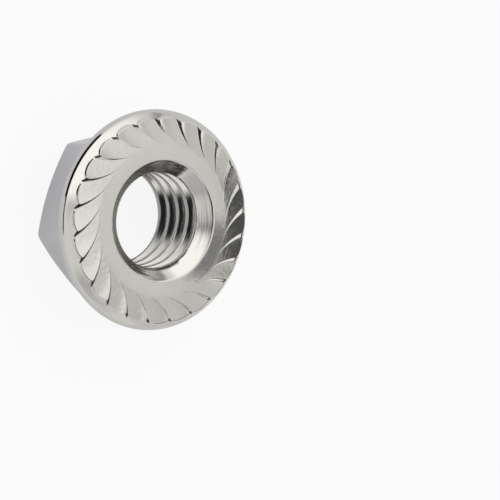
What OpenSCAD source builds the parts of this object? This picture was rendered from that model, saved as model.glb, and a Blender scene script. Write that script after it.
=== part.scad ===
// Serrated flange nut, one forged and tapped piece of stainless steel.
// It stands on its hex end: z = 0 is that end, and the serrated bearing face looks up.

/* [Thread] */
// Nominal diameter of the thread
thread_d = 10; // [9:0.5:10.5]
// Distance from one turn of the thread to the next
pitch = 1.5; // [1:0.25:1.75]
// How much wider than the thread the countersinks are, at both ends of the bore
countersink_margin = 0.7; // [0.2:0.1:1]
// Included angle of the countersinks
countersink_angle = 90; // [80:1:120]

/* [Hexagon] */
// Width across the flats
across_flats = 15; // [13.5:0.1:15.6]
// Overall height, from the hex end to the bearing face
nut_h = 8.4; // [7:0.1:12]
// Diameter of the flat left on the hex end by its chamfer
chamfer_d = 14; // [12:0.1:14.4]
// Slope of that chamfer
chamfer_angle = 33; // [20:1:45]

/* [Flange] */
// Diameter of the flange
flange_d = 19.6; // [18.8:0.1:22]
// Radial width of the bevel and rounding outside the serrations
rim_w = 0.64; // [0.6:0.01:0.9]
// Slope of the bevel
bevel_angle = 45; // [35:1:55]
// Rounding between the bevel and the side of the rim
front_round = 0.5; // [0.3:0.05:1.1]
// Height of the straight side of the rim
rim_side_h = 0.15; // [0.05:0.05:1]
// Rounding between the side of the rim and the sloping back
back_round = 0.5; // [0.2:0.05:0.8]
// Slope of the flange's back
back_angle = 20; // [10:1:30]

/* [Serrations] */
// Number of serrations
serration_count = 24; // [18:1:30]
// Angle from a corner of the hexagon to the tip of the first serration
serration_start = 9.7; // [0:0.1:15]
// Depth of a serration at its outer tip
serration_depth = 0.34; // [0.2:0.02:0.5]
// Lean of the short outer wall from the serrated face down to the bevel
edge_lean = 25; // [15:1:40]
// Width of the plain ring between the countersink and the serrations
plain_ring_w = 1.25; // [0.9:0.05:1.8]
// Angle that a serration sweeps back from its tip to the plain ring
serration_sweep = 25; // [18:1:28]
// Lean of a serration's steep wall
wall_lean = 40; // [20:1:50]

/* [Hidden] */
$fn = 96;

// Overlaps, and how far a cut reaches past the surface that it starts from
eps = 0.02;
cut_h = 1;
// Flats in each rounding of the rim
round_steps = 6;

// The bore touches the crests of the thread, which lie one pitch inside its nominal diameter
bore_r = (thread_d - pitch) / 2;
countersink_r = (thread_d + countersink_margin) / 2;
countersink_h = (countersink_r - bore_r) / tan(countersink_angle / 2);
hex_r = across_flats / 2 / cos(30);
flange_r = flange_d / 2;
tip_r = flange_r - rim_w;
bearing_r = tip_r - serration_depth * tan(edge_lean);
ring_r = countersink_r + plain_ring_w;

// The rim's front rounding runs from its side, at angle 0, up to the bevel
bevel_h = (rim_w - front_round * (1 - sin(bevel_angle))) * tan(bevel_angle);
front_z = nut_h - serration_depth - bevel_h - front_round * cos(bevel_angle);
front_centre = [flange_r - front_round, front_z];
front_end = 90 - bevel_angle;

// The rim's back rounding runs from its side down to the sloping back
back_z = front_z - rim_side_h;
back_centre = [flange_r - back_round, back_z];
back_end = back_angle - 90;
core_r = bore_r + eps;

// Serration geometry, for a tooth whose tip lies on the X axis
tip_x = tip_r * cos(serration_sweep) - ring_r;
tip_y = tip_r * sin(serration_sweep);
floor_tilt = atan(serration_depth / tip_x);
wall_r = (tip_x * tip_x + tip_y * tip_y) / (2 * tip_x);

// Points of an arc from one angle to another, both ends among them
function arc(centre, r, from, to) = [
    for (i = [0 : round_steps]) let (a = from + (to - from) * i / round_steps)
        centre + r * [cos(a), sin(a)]
];

// Half section of the flange, from the bore out to the rim
module flange_section() {
    back_arc = arc(back_centre, back_round, 0, back_end);
    back_edge = back_arc[round_steps];
    polygon(concat(
        [[core_r, nut_h], [bearing_r, nut_h], [tip_r, nut_h - serration_depth]],
        arc(front_centre, front_round, front_end, 0),
        back_arc,
        [[core_r, back_edge[1] - (back_edge[0] - core_r) * tan(back_angle)]]
    ));
}

// Turned blank that chamfers the corners of the hex end
module chamfer_blank() {
    blank_r = hex_r + cut_h;
    rotate_extrude() polygon([
        [0, 0],
        [chamfer_d / 2, 0],
        [blank_r, (blank_r - chamfer_d / 2) * tan(chamfer_angle)],
        [blank_r, front_z],
        [0, front_z]
    ]);
}

module hexagon() {
    intersection() {
        cylinder(r = hex_r, h = front_z, $fn = 6);
        chamfer_blank();
    }
}

module bore() {
    translate([0, 0, -cut_h]) cylinder(r = bore_r, h = nut_h + 2 * cut_h);
    for (end = [0, 1]) {
        translate([0, 0, end * nut_h]) mirror([0, 0, end]) translate([0, 0, -eps])
            cylinder(
                r1 = countersink_r + eps * tan(countersink_angle / 2),
                r2 = bore_r,
                h = countersink_h + eps
            );
    }
}

// One serration: a sloping floor that starts on the plain ring's edge, and a leaning wall
// that curves from the ring to the rim
module serration() {
    floor_w = flange_r;
    wall_run = cut_h * tan(wall_lean);
    rotate([0, 0, -serration_sweep]) difference() {
        translate([ring_r, 0, nut_h]) rotate([0, floor_tilt, 0]) cube([floor_w, floor_w, cut_h]);
        translate([ring_r - eps + wall_r, 0, nut_h - cut_h])
            cylinder(r1 = wall_r + wall_run, r2 = wall_r - wall_run, h = 2 * cut_h);
    }
}

module flange_nut() {
    color("silver") difference() {
        union() {
            hexagon();
            rotate_extrude() flange_section();
        }
        bore();
        for (i = [0 : serration_count - 1]) {
            rotate([0, 0, serration_start + i * 360 / serration_count]) serration();
        }
    }
}

flange_nut();
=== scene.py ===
import math
from collections import namedtuple

import bpy
import numpy as np
from mathutils import Matrix, Vector


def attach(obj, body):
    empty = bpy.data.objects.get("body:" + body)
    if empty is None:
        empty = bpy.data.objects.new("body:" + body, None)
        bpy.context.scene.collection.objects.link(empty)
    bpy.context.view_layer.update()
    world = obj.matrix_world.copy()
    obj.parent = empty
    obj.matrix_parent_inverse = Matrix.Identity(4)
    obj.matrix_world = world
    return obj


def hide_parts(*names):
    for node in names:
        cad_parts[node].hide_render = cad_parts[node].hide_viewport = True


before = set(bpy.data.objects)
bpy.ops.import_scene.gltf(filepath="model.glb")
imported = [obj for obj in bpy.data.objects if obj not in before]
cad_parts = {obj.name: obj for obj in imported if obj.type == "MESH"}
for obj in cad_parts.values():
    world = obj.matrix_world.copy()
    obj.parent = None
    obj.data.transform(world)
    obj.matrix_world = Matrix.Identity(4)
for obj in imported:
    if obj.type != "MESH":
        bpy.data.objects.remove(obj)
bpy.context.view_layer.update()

# Lengths are in millimetres until the mesh is made
MM = 0.001

# Bore and hexagon
THREAD_D = 10.0
PITCH = 1.5
BORE_R = (THREAD_D - PITCH) / 2
COUNTERSINK_R = 5.35
NUT_H = 8.4
HEX_SIDES = 6
ACROSS_FLATS = 15.0
APOTHEM = ACROSS_FLATS / 2
HEX_EDGE_ROUND = 0.55
CHAMFER_R = 7.0
CHAMFER_ANGLE = math.radians(33)

# Flange: the bevel outside the serrations, then the rim's rounding, its short straight side,
# a second rounding and the sloping back
FLANGE_R = 9.8
RIM_W = 0.64
TIP_R = FLANGE_R - RIM_W
BEVEL_ANGLE = math.radians(45)
BEVEL_SLOPE = math.tan(BEVEL_ANGLE)
FRONT_ROUND = 0.8
RIM_SIDE_H = 0.03
BACK_ROUND = 0.5
BACK_ANGLE = math.radians(20)

# Serrations, which start outside a plain ring and sweep back from their tips
TEETH = 24
TOOTH_ANGLE = 2 * math.pi / TEETH
TOOTH_START = math.radians(9.7)
PLAIN_RING_W = 1.25
RING_R = COUNTERSINK_R + PLAIN_RING_W
SWEEP = math.radians(25)

# Depths below the bearing plane: of the bevel where it meets TIP_R, and of a tooth's floor
# at its tip
BEVEL_DEPTH = 0.42
FLOOR_DEPTH = 0.29

# Run of a tooth's leaning wall for each unit of its depth, and its least width as a share
# of a tooth
WALL_RUN = math.tan(math.radians(54))
LEAST_WALL = 0.02

# Form of a tooth's scooped floor, as shares of its depth, and the softness of its edges
SCOOP_TILT = 0.2
SCOOP_POWER = 4
CREST_SHARE = 0.03
CREST_SOFT = 0.03

# Least height and width of the short wall that drops from the serrated face to the bevel
EDGE_DROP = 0.12
EDGE_W = 0.06

# Rounded outline of a tooth's outer end: how far it reaches out from the notch, the share
# of that where it leaves the wall, and the place of its widest point along the tooth
SCALLOP_W = 0.38
SCALLOP_START = 0.6
SCALLOP_PEAK = 0.35
NOTCH_R = TIP_R - EDGE_W - SCALLOP_W

# The bevel's outer end, and the heights of the centres of the rim's two roundings
BEVEL_END_R = FLANGE_R - FRONT_ROUND * (1 - math.sin(BEVEL_ANGLE))
BEVEL_END_Z = NUT_H - BEVEL_DEPTH - (BEVEL_END_R - TIP_R) * BEVEL_SLOPE
FRONT_Z = BEVEL_END_Z - FRONT_ROUND * math.cos(BEVEL_ANGLE)
BACK_Z = FRONT_Z - RIM_SIDE_H

# Roundings of the profile's corners: radius, and number of points
LIP_ROUND = (0.28, 6)
SCALLOP_ROUND = (0.06, 4)
WALL_END_ROUND = (0.06, 3)
NECK_ROUND = (0.45, 7)
SHOULDER_ROUND = (0.18, 5)
HEX_END_ROUND = (0.18, 4)
LOW_LIP_ROUND = (0.09, 4)

# Largest share of a side that a rounding takes
MOST_TRIM = 0.45

# Distance from a lip to the point on its countersink that its rounding looks towards
CONE_REACH = 0.5

# How many times the face's last step the rounding of the scalloped edge looks inwards
FACE_REACH = 4

# Columns of one tooth, in four groups: beside its crest line, on its wall, after the wall's
# foot, and on the floor before the next crest. The first and third are in shares of a
# tooth, the others in shares of the wall and of the floor.
CREST_STEPS = (-0.045, -0.018, 0.0)
WALL_STEPS = (0.2, 0.5, 0.8)
FOOT_STEPS = (0.0, 0.02, 0.05)
FLOOR_STEPS = (0.12, 0.26, 0.4, 0.53, 0.65, 0.74, 0.81, 0.87, 0.92, 0.96)
GROUPS = (CREST_STEPS, WALL_STEPS, FOOT_STEPS, FLOOR_STEPS)
COLUMN_STEPS = np.concatenate(GROUPS)
COLUMN_GROUPS = np.repeat(np.arange(len(GROUPS)), [len(group) for group in GROUPS])
TOOTH_COLUMNS = len(COLUMN_STEPS)
COLUMNS = TEETH * TOOTH_COLUMNS

# How strongly the columns crowd towards the hexagon's corners
HEX_CROWDING = 0.75

# Rows of the serrated face, as shares of the way to the scalloped edge. The first lies this
# far inside the plain ring's edge.
RING_OVERLAP = 0.15
FACE_SHARES = np.concatenate([np.linspace(0, 0.9, 22), [0.94, 0.97, 0.985]])

# Rows of the bevel, of each rounding of the rim, and of plain stretches
BEVEL_SHARES = (0.3, 0.65)
RIM_STEPS = 8
HALF = (0.5,)
THIRDS = (0.33, 0.66)
QUARTERS = (0.25, 0.5, 0.75)

# Rounds of the searches in which an angle depends on itself
FOOT_PASSES = 6
SCALLOP_PASSES = 30
HELIX_PASSES = 4

# Bands of the surface, in the order of their materials
# The last band is painted shade: near black steel at the outer ends of the teeth's walls
FACE, RIM, HEX, TURNED, THREAD, TOOTH, PAINTED_SHADE = range(7)

# Columns of a tooth's wall faces, dark with painted shade beyond this share of the way out
WALL_COLUMNS = slice(len(CREST_STEPS) - 1, len(CREST_STEPS) + len(WALL_STEPS))
PAINTED_SHADE_START = 0.95


# Serrations

TIP_X = TIP_R * math.cos(SWEEP) - RING_R
TIP_Y = TIP_R * math.sin(SWEEP)
FLOOR_SLOPE = FLOOR_DEPTH / TIP_X
WALL_R = (TIP_X**2 + TIP_Y**2) / (2 * TIP_X)
WALL_X = RING_R + WALL_R


def smooth_max(a, b, soft):
    """The larger of a and b, with the crossing rounded over about soft."""
    h = np.clip(0.5 + 0.5 * (a - b) / soft, 0, 1)
    return b + (a - b) * h + soft * h * (1 - h) / 2


def smooth_min(a, b, soft):
    """The smaller of a and b, with the crossing rounded over about soft."""
    return -smooth_max(-a, -b, soft)


def wall_depth(r, angle):
    """Depth of a tooth's leaning wall, which starts at zero on the crest line."""
    x = r * np.cos(angle + SWEEP) - WALL_X
    y = r * np.sin(angle + SWEEP)
    return (np.hypot(x, y) - WALL_R) / WALL_RUN


def wall_angle(r, depth):
    """Angle at which the wall has the given depth."""
    reach = WALL_R + depth * WALL_RUN
    x = (r**2 + WALL_X**2 - reach**2) / (2 * WALL_X)
    return np.arccos(np.clip(x / r, -1, 1)) - SWEEP


def foot_depth(r):
    """Depth at the foot of the wall, which grows from the plain ring to the tip."""
    foot = wall_angle(r, 0)
    for _ in range(FOOT_PASSES):
        depth = np.maximum((r * np.cos(foot + SWEEP) - RING_R) * FLOOR_SLOPE, 0)
        foot = wall_angle(r, depth)
    return depth


def crest_angle(r):
    """Angle of the softened crest line."""
    return wall_angle(r, CREST_SHARE * foot_depth(r))


def wall_ends(r):
    """Angles of the crest line and of the wall's foot, kept apart by the least wall."""
    crest = crest_angle(r)
    foot = wall_angle(r, foot_depth(r))
    return crest, np.maximum(foot, crest + LEAST_WALL * TOOTH_ANGLE)


def floor_depth(r, angle):
    """Depth of a tooth's scooped floor, from the foot of its wall up to the next crest."""
    depth = foot_depth(r)
    foot = wall_angle(r, depth)
    t = (angle - foot) / (crest_angle(r) + TOOTH_ANGLE - foot)
    rise = 1 - SCOOP_TILT - CREST_SHARE
    return depth * (1 - SCOOP_TILT * t - rise * np.sign(t) * np.abs(t) ** SCOOP_POWER)


def face_depth(r, angle):
    """Depth of the serrated face below the bearing plane."""
    before = floor_depth(r, angle + TOOTH_ANGLE)
    own = smooth_min(wall_depth(r, angle), floor_depth(r, angle), CREST_SOFT)
    return smooth_max(smooth_max(before, own, CREST_SOFT), 0 * r, CREST_SOFT)


def tooth_angles(r):
    """Angles of one tooth's columns, at a radius for each column."""
    crest, foot = wall_ends(r)
    floor_start = foot + FOOT_STEPS[-1] * TOOTH_ANGLE
    floor_end = crest + (1 + CREST_STEPS[0]) * TOOTH_ANGLE
    origin = np.choose(COLUMN_GROUPS, [crest, crest, foot, floor_start])
    width = np.choose(
        COLUMN_GROUPS, [TOOTH_ANGLE, foot - crest, TOOTH_ANGLE, floor_end - floor_start]
    )
    return origin + COLUMN_STEPS * width


def all_teeth(values):
    """Repeats one tooth's column values for every tooth."""
    return np.tile(values, TEETH)


def on_face(angles):
    """Angles round the nut of every tooth's columns, from the angles within one tooth."""
    turns = np.repeat(np.arange(TEETH), TOOTH_COLUMNS) * TOOTH_ANGLE
    return all_teeth(angles) + turns + TOOTH_START


def scallop_edge():
    """Radius at which each column of a tooth leaves the face for the short outer wall."""
    r = np.full(TOOTH_COLUMNS, NOTCH_R)
    for _ in range(SCALLOP_PASSES):
        angles = tooth_angles(r)
        crest, foot = wall_ends(r)
        on_wall = np.clip((angles - crest) / (foot - crest), 0, 1)
        along = np.where(angles < crest, angles + TOOTH_ANGLE, angles) - foot
        t = np.clip(along / (crest + TOOTH_ANGLE - foot), 0, 1)
        rise = np.sin(math.pi / 2 * np.clip(t / SCALLOP_PEAK, 0, 1))
        fall = np.sqrt(1 - np.clip((t - SCALLOP_PEAK) / (1 - SCALLOP_PEAK), 0, 1) ** 2)
        petal = (SCALLOP_START + (1 - SCALLOP_START) * rise) * fall
        bulge = np.where((angles >= crest) & (angles < foot), SCALLOP_START * on_wall, petal)
        # Halfway to the new radius, so that the search settles
        r = (r + (NOTCH_R + SCALLOP_W * bulge)) / 2
    return r


# The outer surface, from the upper countersink's lip over the face, rim, back and hexagon to
# the lower countersink's lip. A row has the profile's point (radius, height) and the angle
# of every column, and the band of the faces between it and the row before.

Row = namedtuple("Row", "points angles band")


def profile(r, z):
    """Profile points with a radius and a height for every column."""
    return np.stack([r + np.zeros(COLUMNS), z + np.zeros(COLUMNS)], axis=1)


def between(start, end, shares):
    """Profile points at shares of the way from start to end."""
    return [start * (1 - share) + end * share for share in shares]


def unit(v):
    """Vectors of length one, and the lengths that they had."""
    length = np.linalg.norm(v, axis=1)
    return v / length[:, None], length


def rounded(before, corner, after, rounding):
    """Points of the arc that rounds a corner of the profile, for every column at once."""
    radius, steps = rounding
    a, a_len = unit(before - corner)
    b, b_len = unit(after - corner)
    half = np.arccos(np.clip((a * b).sum(1), -1, 1)) / 2
    trim = np.minimum(radius / np.tan(half), MOST_TRIM * np.minimum(a_len, b_len))
    size = trim * np.tan(half)
    middle, _ = unit(a + b)
    centre = corner + middle * (size / np.sin(half))[:, None]
    start = corner + a * trim[:, None] - centre
    end = corner + b * trim[:, None] - centre
    sweep = np.arccos(np.clip((start * end).sum(1) / size**2, -1, 1))
    points = []
    for share in np.linspace(0, 1, steps):
        of_start = np.sin((1 - share) * sweep) / np.sin(sweep)
        of_end = np.sin(share * sweep) / np.sin(sweep)
        points.append(centre + start * of_start[:, None] + end * of_end[:, None])
    return points


def hex_angles():
    """Column angles on the hexagon, crowded towards its corners."""
    u = np.arange(COLUMNS) / COLUMNS * HEX_SIDES
    crowded = u - HEX_CROWDING * np.sin(2 * math.pi * u) / (2 * math.pi)
    return crowded * 2 * math.pi / HEX_SIDES


def hex_radius(angle):
    """Radius of the hexagon, whose corners are rounded."""
    half = math.pi / HEX_SIDES
    off_corner = (angle + half) % (2 * half) - half
    flat = APOTHEM / np.cos(half - np.abs(off_corner))
    centre = (APOTHEM - HEX_EDGE_ROUND) / math.cos(half)
    root = np.sqrt(np.maximum(HEX_EDGE_ROUND**2 - (centre * np.sin(off_corner)) ** 2, 0))
    arc = centre * np.cos(off_corner) + root
    arc_side = HEX_EDGE_ROUND * math.sin(half)
    arc_ahead = centre + HEX_EDGE_ROUND * math.cos(half)
    return np.where(np.abs(off_corner) < math.atan2(arc_side, arc_ahead), arc, flat)


def with_painted_shade(band):
    """A band's number for every column, with painted shade on the teeth's walls."""
    columns = np.full(TOOTH_COLUMNS, band)
    columns[WALL_COLUMNS] = PAINTED_SHADE
    return all_teeth(columns)


def ring_rows():
    """Rows of the upper countersink's lip and of the plain ring."""
    angles = on_face(tooth_angles(np.full(TOOTH_COLUMNS, RING_R)))
    down_cone = profile(COUNTERSINK_R - CONE_REACH, NUT_H - CONE_REACH)
    ring_end = profile(RING_R, NUT_H)
    lip = rounded(down_cone, profile(COUNTERSINK_R, NUT_H), ring_end, LIP_ROUND)
    ring = between(lip[-1], ring_end, QUARTERS)
    return [Row(p, angles, TURNED) for p in lip] + [Row(p, angles, FACE) for p in ring]


def tooth_rows(edge):
    """Rows of the serrated face, which end near the scalloped edge."""
    rows = []
    start = RING_R - RING_OVERLAP
    for share in FACE_SHARES:
        r = start + (edge - start) * share
        angles = tooth_angles(np.maximum(r, RING_R))
        points = profile(all_teeth(r), all_teeth(NUT_H - face_depth(r, angles)))
        band = with_painted_shade(TOOTH) if share > PAINTED_SHADE_START else TOOTH
        rows.append(Row(points, on_face(angles), band))
    return rows


def scallop_rows(edge, last):
    """Rows of the scalloped edge and of the short wall that drops from it to the bevel."""
    angles = tooth_angles(edge)
    edge_r = all_teeth(edge)
    edge_depth = all_teeth(face_depth(edge, angles))
    corner = profile(edge_r, NUT_H - edge_depth)
    least_r = TIP_R - (BEVEL_DEPTH - edge_depth - EDGE_DROP) / BEVEL_SLOPE
    wall_r = np.maximum(edge_r + EDGE_W, least_r)
    wall_end = profile(wall_r, NUT_H - BEVEL_DEPTH - (wall_r - TIP_R) * BEVEL_SLOPE)
    inner = corner + (last.points - corner) * FACE_REACH
    points = rounded(inner, corner, wall_end, SCALLOP_ROUND)
    points += rounded(corner, wall_end, profile(BEVEL_END_R, BEVEL_END_Z), WALL_END_ROUND)
    return [Row(p, on_face(angles), with_painted_shade(RIM)) for p in points]


def rim_rows(start):
    """Rows of the bevel and the rim, over which the columns turn into the hexagon's."""
    points = between(start.points, profile(BEVEL_END_R, BEVEL_END_Z), BEVEL_SHARES)
    for a in np.linspace(math.pi / 2 - BEVEL_ANGLE, 0, RIM_STEPS):
        r = FLANGE_R - FRONT_ROUND * (1 - math.cos(a))
        points.append(profile(r, FRONT_Z + FRONT_ROUND * math.sin(a)))
    front_rows = len(points)
    for a in np.linspace(0, math.pi / 2 - BACK_ANGLE, RIM_STEPS):
        r = FLANGE_R - BACK_ROUND * (1 - math.cos(a))
        points.append(profile(r, BACK_Z - BACK_ROUND * math.sin(a)))
    rows = []
    for i, p in enumerate(points):
        share = (i + 1) / len(points)
        angles = start.angles * (1 - share) + hex_angles() * share
        rows.append(Row(p, angles, RIM if i < front_rows else HEX))
    return rows


def hexagon_rows(start):
    """Rows of the flange's sloping back, the hexagon, its end and the lower lip."""
    side_r = hex_radius(start.angles)
    back_h = (start.points[:, 0] - side_r) * math.tan(BACK_ANGLE)
    neck = profile(side_r, start.points[:, 1] - back_h)
    shoulder = profile(side_r, (side_r - CHAMFER_R) * math.tan(CHAMFER_ANGLE))
    end_edge = profile(CHAMFER_R, 0)
    low_edge = profile(COUNTERSINK_R, 0)
    up_cone = profile(COUNTERSINK_R - CONE_REACH, CONE_REACH)
    neck_arc = rounded(start.points, neck, shoulder, NECK_ROUND)
    shoulder_arc = rounded(neck, shoulder, end_edge, SHOULDER_ROUND)
    end_arc = rounded(shoulder, end_edge, low_edge, HEX_END_ROUND)
    low_lip = rounded(end_edge, low_edge, up_cone, LOW_LIP_ROUND)
    points = between(start.points, neck_arc[0], THIRDS) + neck_arc
    points += between(neck_arc[-1], shoulder_arc[0], QUARTERS) + shoulder_arc
    points += between(shoulder_arc[-1], end_arc[0], HALF) + end_arc
    points += between(end_arc[-1], low_lip[0], THIRDS)
    rows = [Row(p, start.angles, HEX) for p in points]
    return rows + [Row(p, start.angles, TURNED) for p in low_lip]


def outer_rows():
    """All rows of the outer surface."""
    edge = scallop_edge()
    rows = ring_rows() + tooth_rows(edge)
    rows += scallop_rows(edge, rows[-1])
    rows += rim_rows(rows[-1])
    rows += hexagon_rows(rows[-1])
    return rows


# The inner surface: both countersinks and the thread, in rows that follow the helix

# The thread's flanks, how far its root lies past the nominal radius, and half the root's
# width as a share of the pitch
FLANK_ANGLE = math.radians(30)
ROOT_CLEARANCE = 0.02
ROOT_HALF = 1 / 16

# Softness of the thread's corners: a share of the pitch, and depths at crest and root
CORNER_SOFT = 0.03
CREST_CUT = 0.012
ROOT_FILL = 0.015

# Depth below the bearing face of a crest where the angle is zero
FIRST_CREST = 0.12
# The thread's grooves fade in between these depths below the bearing face
GROOVE_START = 0.8
GROOVE_FULL = 1.9

# Turns of rows past the two ends of the nut, which the lips clamp
TURNS_ABOVE = 2
TURNS_BELOW = 1

# Differences in height that count as none: beside a lip, and between two rows
NEAR_LIP = 1e-4
NO_HEIGHT = 1e-6


def thread_turn():
    """One turn's rows, as (share of the pitch, radius): crest, flank, root, flank."""
    root = THREAD_D / 2 + ROOT_CLEARANCE
    depth = root - BORE_R
    flank = depth * math.tan(FLANK_ANGLE) / PITCH
    crest_half = 0.5 - ROOT_HALF - flank
    soft_depth = depth * CORNER_SOFT / flank
    down = [
        (0.0, BORE_R),
        (crest_half - CORNER_SOFT, BORE_R),
        (crest_half, BORE_R + CREST_CUT),
        (crest_half + CORNER_SOFT, BORE_R + soft_depth),
        (crest_half + flank / 2, BORE_R + depth / 2),
        (crest_half + flank - CORNER_SOFT, root - soft_depth),
        (crest_half + flank, root - ROOT_FILL),
    ]
    up = [(1 - share, radius) for share, radius in reversed(down[1:])]
    return down + [(0.5, root)] + up


def inner_grid(top, low):
    """Radius, angle and height of the helical rows, clamped between the lips' two rows."""
    top_r, top_z = top.points[0]
    low_r, low_z = low.points[0]

    def angles_at(z):
        """Column angles, which go over from the upper lip's to the lower lip's."""
        share = (top_z - z) / (top_z - low_z)
        return top.angles * (1 - share) + low.angles * share

    def cone_at(z):
        """Radius of the countersinks, whose walls stand at 45 degrees."""
        return np.maximum(top_r - (top_z - z), low_r - (z - low_z))

    turn = thread_turn()
    turns = math.ceil(NUT_H / PITCH) + TURNS_ABOVE + TURNS_BELOW
    shares = np.concatenate([[k + share for share, _ in turn] for k in range(turns)])
    radii = np.tile([radius for _, radius in turn], turns)
    start = NUT_H - FIRST_CREST + TURNS_ABOVE * PITCH
    angles = np.tile(top.angles, (len(shares), 1))
    for _ in range(HELIX_PASSES):
        z = start - shares[:, None] * PITCH + angles / (2 * math.pi) * PITCH
        z = np.clip(z, low_z, top_z)
        angles = angles_at(z)
    fade = np.clip((NUT_H - z - GROOVE_START) / (GROOVE_FULL - GROOVE_START), 0, 1)
    radii = BORE_R + (radii[:, None] - BORE_R) * fade
    gap = radii - cone_at(z)
    # Rows beside a crossing of thread and countersink move onto it, for a clean edge
    for i in range(len(shares) - 1):
        crosses = (gap[i] * gap[i + 1] < 0) & (z[i] - z[i + 1] > NO_HEIGHT)
        t = gap[i] / np.where(crosses, gap[i] - gap[i + 1], 1)
        place = z[i] + (z[i + 1] - z[i]) * t
        first = crosses & (t < 0.5) & (z[i] < top_z)
        second = crosses & ~first & (z[i + 1] > low_z)
        z[i] = np.where(first, place, z[i])
        z[i + 1] = np.where(second, place, z[i + 1])
        gap[i] = np.where(first, 0, gap[i])
        gap[i + 1] = np.where(second, 0, gap[i + 1])
    cone = cone_at(z)
    r = np.where(gap == 0, cone, np.maximum(radii, cone))
    return r, angles_at(z), z


# The mesh


def in_space(r, angles, z):
    """Points with x, y and z from radii, angles and heights."""
    return np.stack([r * np.cos(angles), r * np.sin(angles), z], axis=-1).reshape(-1, 3)


def build_nut():
    """Points, faces and bands of the whole nut, as one closed surface."""
    rows = outer_rows()
    verts = [in_space(row.points[:, 0], row.angles, row.points[:, 1]) for row in rows]
    column = np.arange(COLUMNS)
    after = (column + 1) % COLUMNS
    faces = []
    bands = []
    for i, row in enumerate(rows[1:], 1):
        above = (i - 1) * COLUMNS
        below = i * COLUMNS
        corners = [above + column, below + column, below + after, above + after]
        faces.append(np.stack(corners, axis=1))
        bands.append(np.broadcast_to(row.band, COLUMNS))

    r, angles, z = inner_grid(rows[0], rows[-1])
    verts.append(in_space(r, angles, z))
    index = len(rows) * COLUMNS + np.arange(r.size).reshape(r.shape)
    # Points that are clamped at a lip are the lip's own
    index = np.where(z >= rows[0].points[0, 1] - NEAR_LIP, column, index)
    lowest = (len(rows) - 1) * COLUMNS + column
    index = np.where(z <= rows[-1].points[0, 1] + NEAR_LIP, lowest, index)
    # The column after the last is the first, one turn of the helix further up
    per_turn = len(thread_turn())
    seam = np.concatenate([np.zeros(per_turn, int), index[:-per_turn, 0]])
    index = np.concatenate([index, seam[:, None]], axis=1)
    corners = [index[:-1, :-1], index[:-1, 1:], index[1:, 1:], index[1:, :-1]]
    faces.append(np.stack(corners, axis=2).reshape(-1, 4))
    bands.append(np.full(len(faces[-1]), THREAD))
    return np.concatenate(verts), np.concatenate(faces), np.concatenate(bands)


def make_mesh(name, verts, faces, bands):
    """A mesh in metres, without the corners and faces that have shrunk to nothing."""
    polygons = []
    kept_bands = []
    for face, band in zip(faces.tolist(), bands.tolist()):
        polygon = [v for k, v in enumerate(face) if v != face[k - 1]]
        if len(polygon) > 2 and len(set(polygon)) == len(polygon):
            polygons.append(polygon)
            kept_bands.append(band)
    used = sorted({v for polygon in polygons for v in polygon})
    number = {v: i for i, v in enumerate(used)}
    polygons = [[number[v] for v in polygon] for polygon in polygons]
    made = bpy.data.meshes.new(name)
    made.from_pydata((verts[used] * MM).tolist(), [], polygons)
    made.polygons.foreach_set("material_index", kept_bands)
    made.polygons.foreach_set("use_smooth", [True] * len(kept_bands))
    made.update()
    return made


# Materials

BASE_STEEL = (0.62, 0.61, 0.59)
COOL_STEEL = (0.585, 0.585, 0.615)
# Near black steel, which paints shade at the outer ends of the teeth's walls
PAINTED_SHADE_STEEL = (0.09, 0.085, 0.08)

# For each band of the surface: name, colour, roughness and how far it varies as a share,
# cells of grain in a metre, strength of the bump, and whether the grain runs round the axis
STEELS = (
    ("steel_face", BASE_STEEL, 0.17, 0.25, 2500, 0.25, False),
    ("steel_rim", BASE_STEEL, 0.1, 0.25, 1500, 0.08, False),
    ("steel_hex", COOL_STEEL, 0.2, 0.08, 1500, 0.02, False),
    ("steel_turned", BASE_STEEL, 0.14, 0.25, 4500, 1.0, True),
    ("steel_thread", BASE_STEEL, 0.12, 0.25, 3000, 0.5, True),
    ("steel_tooth", BASE_STEEL, 0.17, 0.25, 2600, 1.0, False),
    # Painted shade at the outer ends of the teeth's walls
    ("steel_painted_shade", PAINTED_SHADE_STEEL, 0.25, 0.25, 2600, 1.0, False),
)

# How far the colour drifts in patches, and how many times larger they are than the grain
TINT_LOW = 0.93
TINT_HIGH = 1.06
PATCH_SIZE = 9

# Values of the noise between which the roughness goes from its least to its most
NOISE_LOW = 0.3
NOISE_HIGH = 0.75

# Height of the finest marks in metres, and how much higher they are where they run round
BUMP_H = 0.00002
ROUND_BUMP = 2.2

# Metres of grain that a mark round the axis passes in each radian
ROUND_STRETCH = 0.0003

# Nodes that every new material has
PRINCIPLED = "Principled BSDF"
OUTPUT = "Material Output"


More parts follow.
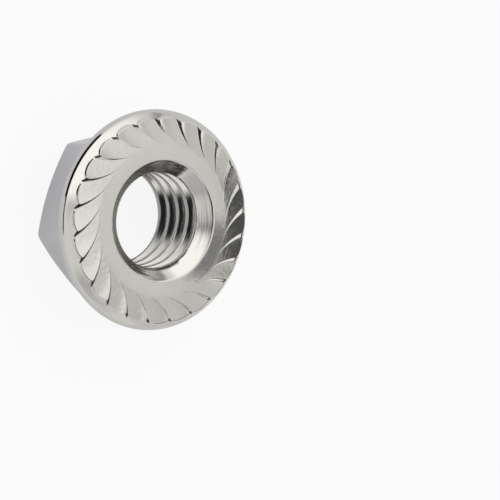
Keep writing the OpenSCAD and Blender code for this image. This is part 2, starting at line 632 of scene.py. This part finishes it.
class Nodes:
    """A short way to add, set and link shader nodes."""

    def __init__(self, tree):
        self.tree = tree

    def fill(self, socket, value):
        """Links an output to a socket, or sets the socket to a constant."""
        if isinstance(value, bpy.types.NodeSocket):
            self.tree.links.new(value, socket)
        else:
            socket.default_value = value

    def put(self, name, socket, value):
        """Links or sets a socket of a node that the tree already has."""
        self.fill(self.tree.nodes[name].inputs[socket], value)

    def node(self, kind, *inputs, **settings):
        """A new node, with its inputs given as (socket, output or constant)."""
        made = self.tree.nodes.new("ShaderNode" + kind)
        for name, value in settings.items():
            setattr(made, name, value)
        for socket, value in inputs:
            self.fill(made.inputs[socket], value)
        return made

    def add(self, kind, *inputs, **settings):
        """The first output of a new node."""
        return self.node(kind, *inputs, **settings).outputs[0]

    def mix(self, share, a, b):
        """Mixes two colours, with sockets by number, because their names aren't unique."""
        return self.node("Mix", (0, share), (6, a), (7, b), data_type="RGBA").outputs[2]

    def math(self, operation, a, b=0.0):
        """One step of arithmetic."""
        return self.add("Math", (0, a), (1, b), operation=operation)

    def dot(self, a, direction):
        """Dot product of a vector with a constant direction."""
        made = self.node("VectorMath", (0, a), (1, direction), operation="DOT_PRODUCT")
        return made.outputs["Value"]

    def ramp(self, value, low, high, out_low=0.0, out_high=1.0):
        """Smooth step from out_low to out_high while the value goes from low to high."""
        inputs = enumerate((value, low, high, out_low, out_high))
        return self.add("MapRange", *inputs, interpolation_type="SMOOTHSTEP")


def new_material(name):
    """A new material and its nodes."""
    material = bpy.data.materials.new(name)
    material.use_nodes = True
    return material, Nodes(material.node_tree)


def round_place(nodes, place):
    """Coordinates that stretch the grain into marks round the axis."""
    x, y, z = nodes.node("SeparateXYZ", (0, place)).outputs
    square = nodes.math("ADD", nodes.math("MULTIPLY", x, x), nodes.math("MULTIPLY", y, y))
    along = nodes.math("MULTIPLY", nodes.math("ARCTAN2", y, x), ROUND_STRETCH)
    return nodes.add("CombineXYZ", (0, nodes.math("SQRT", square)), (1, z), (2, along))


def steel(name, colour, roughness, spread, grain, bump, runs_round):
    """Polished stainless steel, with fine grain in its roughness and in a shallow bump."""
    material, nodes = new_material(name)
    place = nodes.node("TexCoord").outputs["Object"]
    height = BUMP_H
    if runs_round:
        place = round_place(nodes, place)
        height = BUMP_H * ROUND_BUMP
    noise = nodes.add("TexNoise", ("Vector", place), ("Scale", grain), ("Detail", 4.0))
    patches = nodes.add(
        "TexNoise", ("Vector", place), ("Scale", grain / PATCH_SIZE), ("Detail", 2.0)
    )
    least = roughness * (1 - spread)
    most = roughness * (1 + spread)
    darker = [c * TINT_LOW for c in colour] + [1]
    lighter = [c * TINT_HIGH for c in colour] + [1]
    relief = nodes.add("Bump", ("Strength", bump), ("Distance", height), ("Height", noise))
    nodes.put(PRINCIPLED, "Metallic", 1)
    nodes.put(PRINCIPLED, "Base Color", nodes.mix(patches, darker, lighter))
    nodes.put(PRINCIPLED, "Roughness", nodes.ramp(noise, NOISE_LOW, NOISE_HIGH, least, most))
    nodes.put(PRINCIPLED, "Normal", relief)
    return material


mesh = make_mesh("nut", *build_nut())
nut = bpy.data.objects.new("nut_body", mesh)
bpy.context.collection.objects.link(nut)
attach(nut, "root")
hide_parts("flange_nut")
for values in STEELS:
    mesh.materials.append(steel(*values))


# Camera, from a fit to the photograph

# In pixels: the focal length, the picture's width, and a shift to the side
FOCAL_PX = 1500
FRAME_PX = 500
SHIFT_PX = 2.5

# The camera's elevation and roll, the nut's turn about its axis, and the place of the
# bearing face's centre as the camera sees it, in flange radii
CAM_EL = math.radians(52.05)
CAM_ROLL = math.radians(-97.651)
CAM_SPIN = math.radians(-11.52)
CAM_OFFSET = (-0.7891, 0.2579, -13.4419)

# Width of the sensor in millimetres, and the range that the camera sees in metres
SENSOR_W = 36
CLIP_START = 0.005
CLIP_END = 10

tilt = Matrix((
    (1, 0, 0),
    (0, math.sin(CAM_EL), math.cos(CAM_EL)),
    (0, -math.cos(CAM_EL), math.sin(CAM_EL)),
))
roll = Matrix((
    (math.cos(CAM_ROLL), -math.sin(CAM_ROLL), 0),
    (math.sin(CAM_ROLL), math.cos(CAM_ROLL), 0),
    (0, 0, 1),
))
to_camera = roll @ tilt @ Matrix.Rotation(CAM_SPIN, 3, "Z")
from_camera = to_camera.transposed()
offset = Vector(CAM_OFFSET) * FLANGE_R * MM
offset.x += SHIFT_PX / FOCAL_PX * -offset.z
bearing_centre = Vector((0, 0, NUT_H * MM))
camera_data = bpy.data.cameras.new("camera")
camera_data.sensor_width = SENSOR_W
camera_data.lens = SENSOR_W * FOCAL_PX / FRAME_PX
camera_data.clip_start = CLIP_START
camera_data.clip_end = CLIP_END
camera = bpy.data.objects.new("camera", camera_data)
bpy.context.collection.objects.link(camera)
eye = bearing_centre - from_camera @ offset
camera.matrix_world = Matrix.Translation(eye) @ from_camera.to_4x4()
bpy.context.scene.camera = camera


# World: a pale tent with brighter panels and dark gaps, which the nut reflects

TENT = (0.93, 0.925, 0.905, 1)

# What the camera sees behind the floor's far edge
BACKDROP = (0.98, 0.98, 0.98, 1)

# Azimuth, elevation, half width, half height and softness in degrees, and colour
PANELS = (
    (101, 84, 70, 16, 8, (1.2, 1.19, 1.17, 1)),
    (74, 14, 28, 20, 6, (0.06, 0.06, 0.06, 1)),
    (115, 38, 30, 12, 10, (0.74, 0.735, 0.71, 1)),
    (62, 60, 14, 10, 8, (0.68, 0.675, 0.65, 1)),
    (140, 21, 34, 8, 4, (1.4, 1.39, 1.37, 1)),
    (0, 26, 20, 12, 8, (0.62, 0.62, 0.62, 1)),
    (158, 5, 14, 7, 5, (0.35, 0.35, 0.35, 1)),
    (-135, 27, 42, 12, 6, (1.5, 1.48, 1.44, 1)),
    (-50, 60, 30, 20, 9, (0.02, 0.02, 0.025, 1)),
    (-100, 4, 42, 10, 3, (0.02, 0.02, 0.02, 1)),
)


def panel(nodes, direction, behind, values):
    """Mixes one rectangular panel of the tent over the colour behind it."""
    az, el, half_w, half_h, soft = (math.radians(v) for v in values[:5])
    centre = (math.cos(el) * math.cos(az), math.cos(el) * math.sin(az), math.sin(el))
    right = (-math.sin(az), math.cos(az), 0)
    up = (-math.sin(el) * math.cos(az), -math.sin(el) * math.sin(az), math.cos(el))
    side = nodes.math("ARCTAN2", nodes.dot(direction, right), nodes.dot(direction, centre))
    rise = nodes.math("ARCSINE", nodes.dot(direction, up))
    across = nodes.ramp(nodes.math("ABSOLUTE", side), half_w + soft, half_w - soft)
    along = nodes.ramp(nodes.math("ABSOLUTE", rise), half_h + soft, half_h - soft)
    return nodes.mix(nodes.math("MULTIPLY", across, along), behind, values[5])


world = bpy.data.worlds.new("studio")
world.use_nodes = True
nodes = Nodes(world.node_tree)
direction = nodes.node("TexCoord").outputs["Generated"]
light = TENT
for values in PANELS:
    light = panel(nodes, direction, light, values)
by_camera = nodes.node("LightPath").outputs["Is Camera Ray"]
nodes.put("Background", "Color", nodes.mix(by_camera, light, BACKDROP))
bpy.context.scene.world = world


# Floor, nearly white to the camera, with the nut's soft shadow

HALF_FLOOR = 3
FLOOR_GREY = (0.86, 0.86, 0.86, 1)
WHITE = (1, 1, 1, 1)

# Share of plain white in what the camera and the nut's reflections see of the floor
CAMERA_WHITE = 0.9
GLOSS_WHITE = 0.4


def square(name, half, material):
    """An object with one square face, whose corners lie half out from its middle."""
    corners = [(-half, -half, 0), (half, -half, 0), (half, half, 0), (-half, half, 0)]
    made = bpy.data.meshes.new(name)
    made.from_pydata(corners, [], [(0, 1, 2, 3)])
    made.materials.append(material)
    item = bpy.data.objects.new(name, made)
    bpy.context.collection.objects.link(item)
    return item


material, nodes = new_material("floor")
nodes.put(PRINCIPLED, "Base Color", FLOOR_GREY)
nodes.put(PRINCIPLED, "Roughness", 1)
nodes.put(PRINCIPLED, "Specular IOR Level", 0)
matt = nodes.tree.nodes[PRINCIPLED].outputs[0]
white = nodes.add("Emission", ("Color", WHITE), ("Strength", 1.0))
path = nodes.node("LightPath").outputs
seen = nodes.math("MAXIMUM", path["Is Camera Ray"], path["Is Transmission Ray"])
seen_white = nodes.math("MULTIPLY", seen, CAMERA_WHITE)
gloss_white = nodes.math("MULTIPLY", path["Is Glossy Ray"], GLOSS_WHITE)
share = nodes.math("MAXIMUM", seen_white, gloss_white)
nodes.put(OUTPUT, "Surface", nodes.add("MixShader", (0, share), (1, matt), (2, white)))
floor = square("floor", HALF_FLOOR, material)


# Dark and grey cards near the nut, which only its reflections see

# Name, centre, point that the card faces, width and height, brightness, and the share of
# its half size where its edges begin to fade; lengths are in millimetres
CARDS = (
    ("card_right", (-4.0, 17.7, 14.9), (-1.9, 7.9, 8.4), (15, 9), 0.1, 0.5),
    ("card_upper", (-0.6, 13.6, 19.0), (-0.1, 6.1, 8.4), (8, 6), 0.28, 0.5),
    ("card_low", (-7.0, -18.5, 7.6), (-3.7, -9.0, 7.6), (20, 7), 0.01, 0.85),
    ("card_front", (13.2, 13.6, 12.3), (-4.0, 0.5, 9.0), (11, 6), 0.03, 0.7),
)


def card_material(name, value, core):
    """A dull glow that fades out towards the edges of a square of half size 1."""
    material, nodes = new_material(name)
    place = nodes.node("TexCoord").outputs["Object"]
    x, y, _ = nodes.node("SeparateXYZ", (0, place)).outputs
    across = nodes.ramp(nodes.math("ABSOLUTE", x), 1, core)
    along = nodes.ramp(nodes.math("ABSOLUTE", y), 1, core)
    share = nodes.math("MULTIPLY", across, along)
    glow = nodes.add("Emission", ("Color", (value, value, value, 1)), ("Strength", 1.0))
    clear = nodes.add("BsdfTransparent")
    nodes.put(OUTPUT, "Surface", nodes.add("MixShader", (0, share), (1, clear), (2, glow)))
    return material


def card(name, centre, facing, size, value, core):
    """A card with soft edges, turned to face a point."""
    board = square(name, 1, card_material(name, value, core))
    centre = Vector(centre)
    towards = (Vector(facing) - centre).normalized()
    rotation = towards.to_track_quat("Z", "Y").to_matrix()
    half_size = Matrix.Diagonal((size[0] / 2 * MM, size[1] / 2 * MM, MM)).to_4x4()
    board.matrix_world = Matrix.Translation(centre * MM) @ rotation.to_4x4() @ half_size
    board.visible_camera = False
    board.visible_diffuse = False
    board.visible_shadow = False


for values in CARDS:
    card(*values)

bpy.context.scene.view_settings.view_transform = "Standard"
